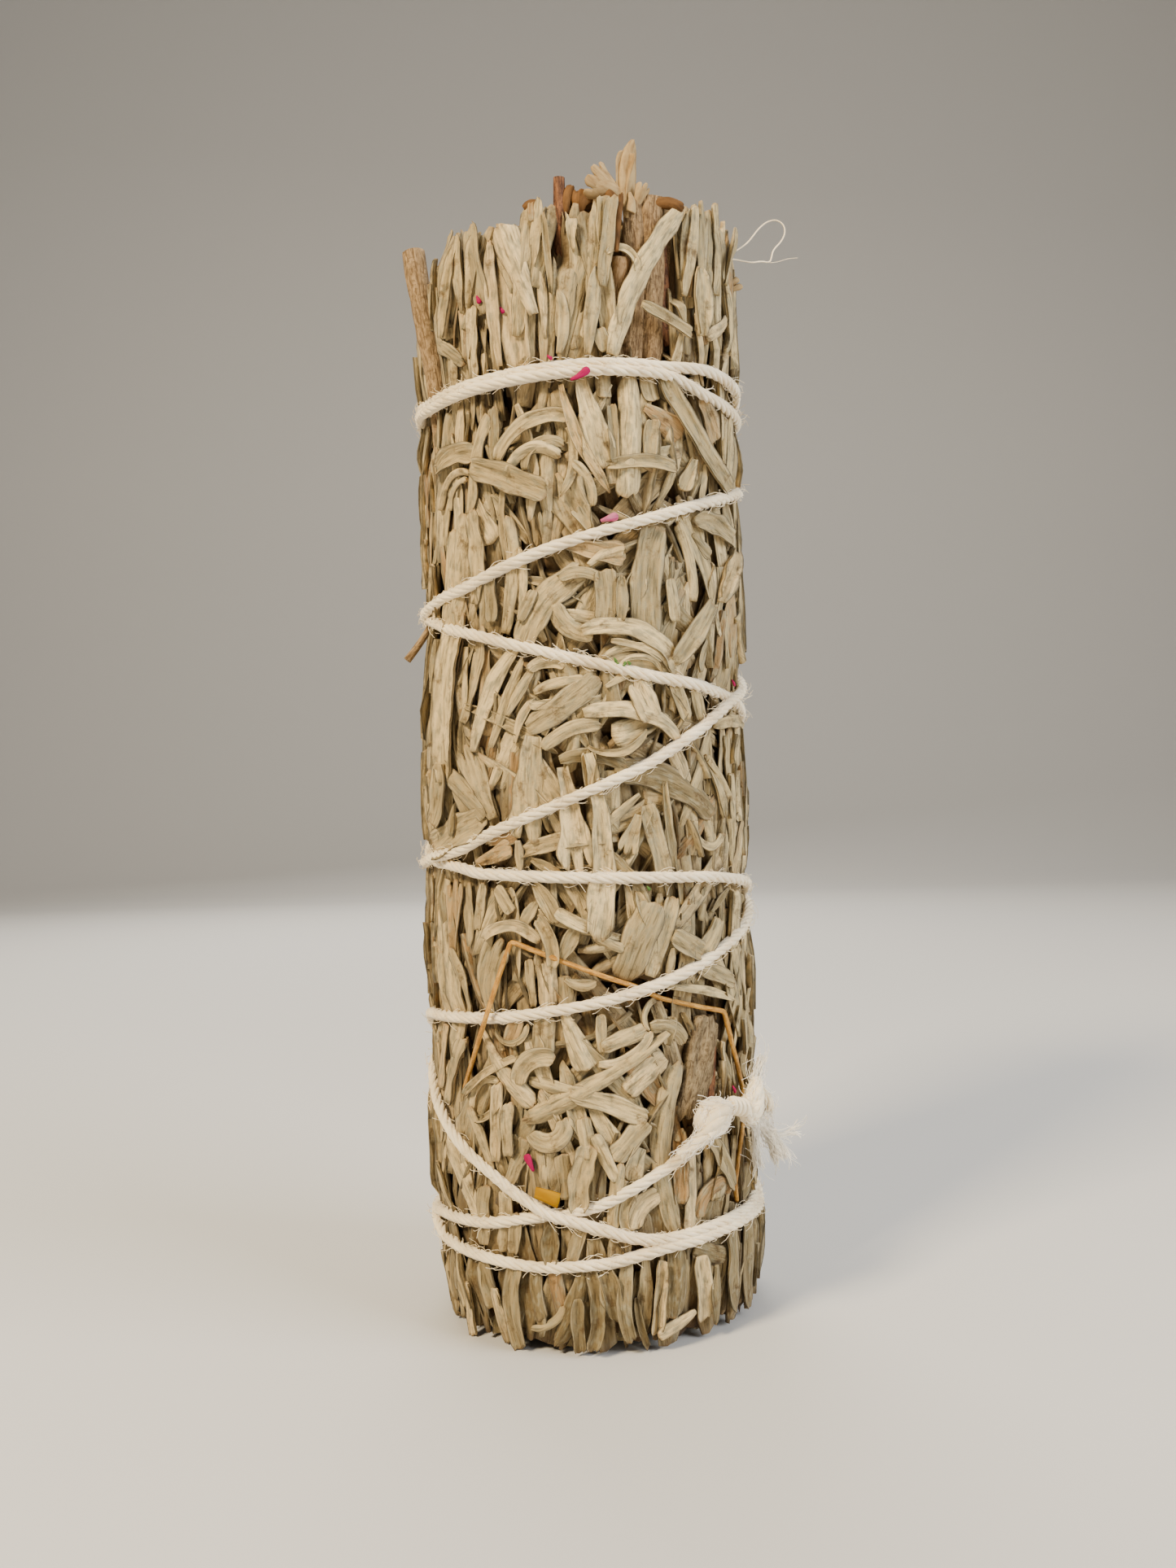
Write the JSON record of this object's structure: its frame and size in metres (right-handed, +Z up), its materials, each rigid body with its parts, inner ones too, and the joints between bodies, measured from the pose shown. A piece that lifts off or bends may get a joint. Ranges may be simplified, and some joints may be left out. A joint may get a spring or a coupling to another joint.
{
  "type": "sage smudge stick",
  "caption": "Round bundle of dried sagebrush sprigs bound with white cotton string; stands on its cut ends, and is burnt for its smoke.",
  "frame": {"origin": "centre of the middle sprig's lower cut end, on the surface that the stick stands on", "axes": "+Z up along the bundle, from the foot to the top; -Y is the front, with the knot low at +X"},
  "size_m": [0.0401, 0.0347, 0.1078],
  "materials": {
    "sage_leaf": "matte",
    "sage_stem": "matte",
    "bark": "matte",
    "twig": "matte",
    "yellow_petal": "matte",
    "pink_petal": "matte",
    "husk": "matte",
    "straw": "satin",
    "cotton": "matte"
  },
  "bodies": {
    "root": {"sprig_1_leaves": "sage_leaf", "sprig_2_leaves": "sage_leaf", "sprig_3_leaves": "sage_leaf", "sprig_4_leaves": "sage_leaf", "sprig_5_leaves": "sage_leaf", "sprig_6_leaves": "sage_leaf", "sprig_7_leaves": "sage_leaf", "sprig_8_leaves": "sage_leaf", "heart_sprig_leaves": "sage_leaf", "sprig_1_stem": "sage_stem", "sprig_2_stem": "sage_stem", "sprig_3_stem": "sage_stem", "sprig_4_stem": "sage_stem", "sprig_5_stem": "sage_stem", "sprig_6_stem": "sage_stem", "sprig_7_stem": "sage_stem", "sprig_8_stem": "sage_stem", "heart_sprig_stem": "sage_stem", "top_bark_stem": "bark", "lower_bark_strip": "bark", "left_edge_twig": "twig", "front_cut_twig": "twig", "red_top_twig": "twig", "left_stub_twig": "twig", "yellow_petal_chip": "yellow_petal", "lower_pink_chip": "pink_petal", "upper_pink_chip": "pink_petal", "papery_husk": "husk", "bent_straw": "straw", "cotton_string": "cotton", "loose_thread": "cotton"}
  },
  "joints": []
}
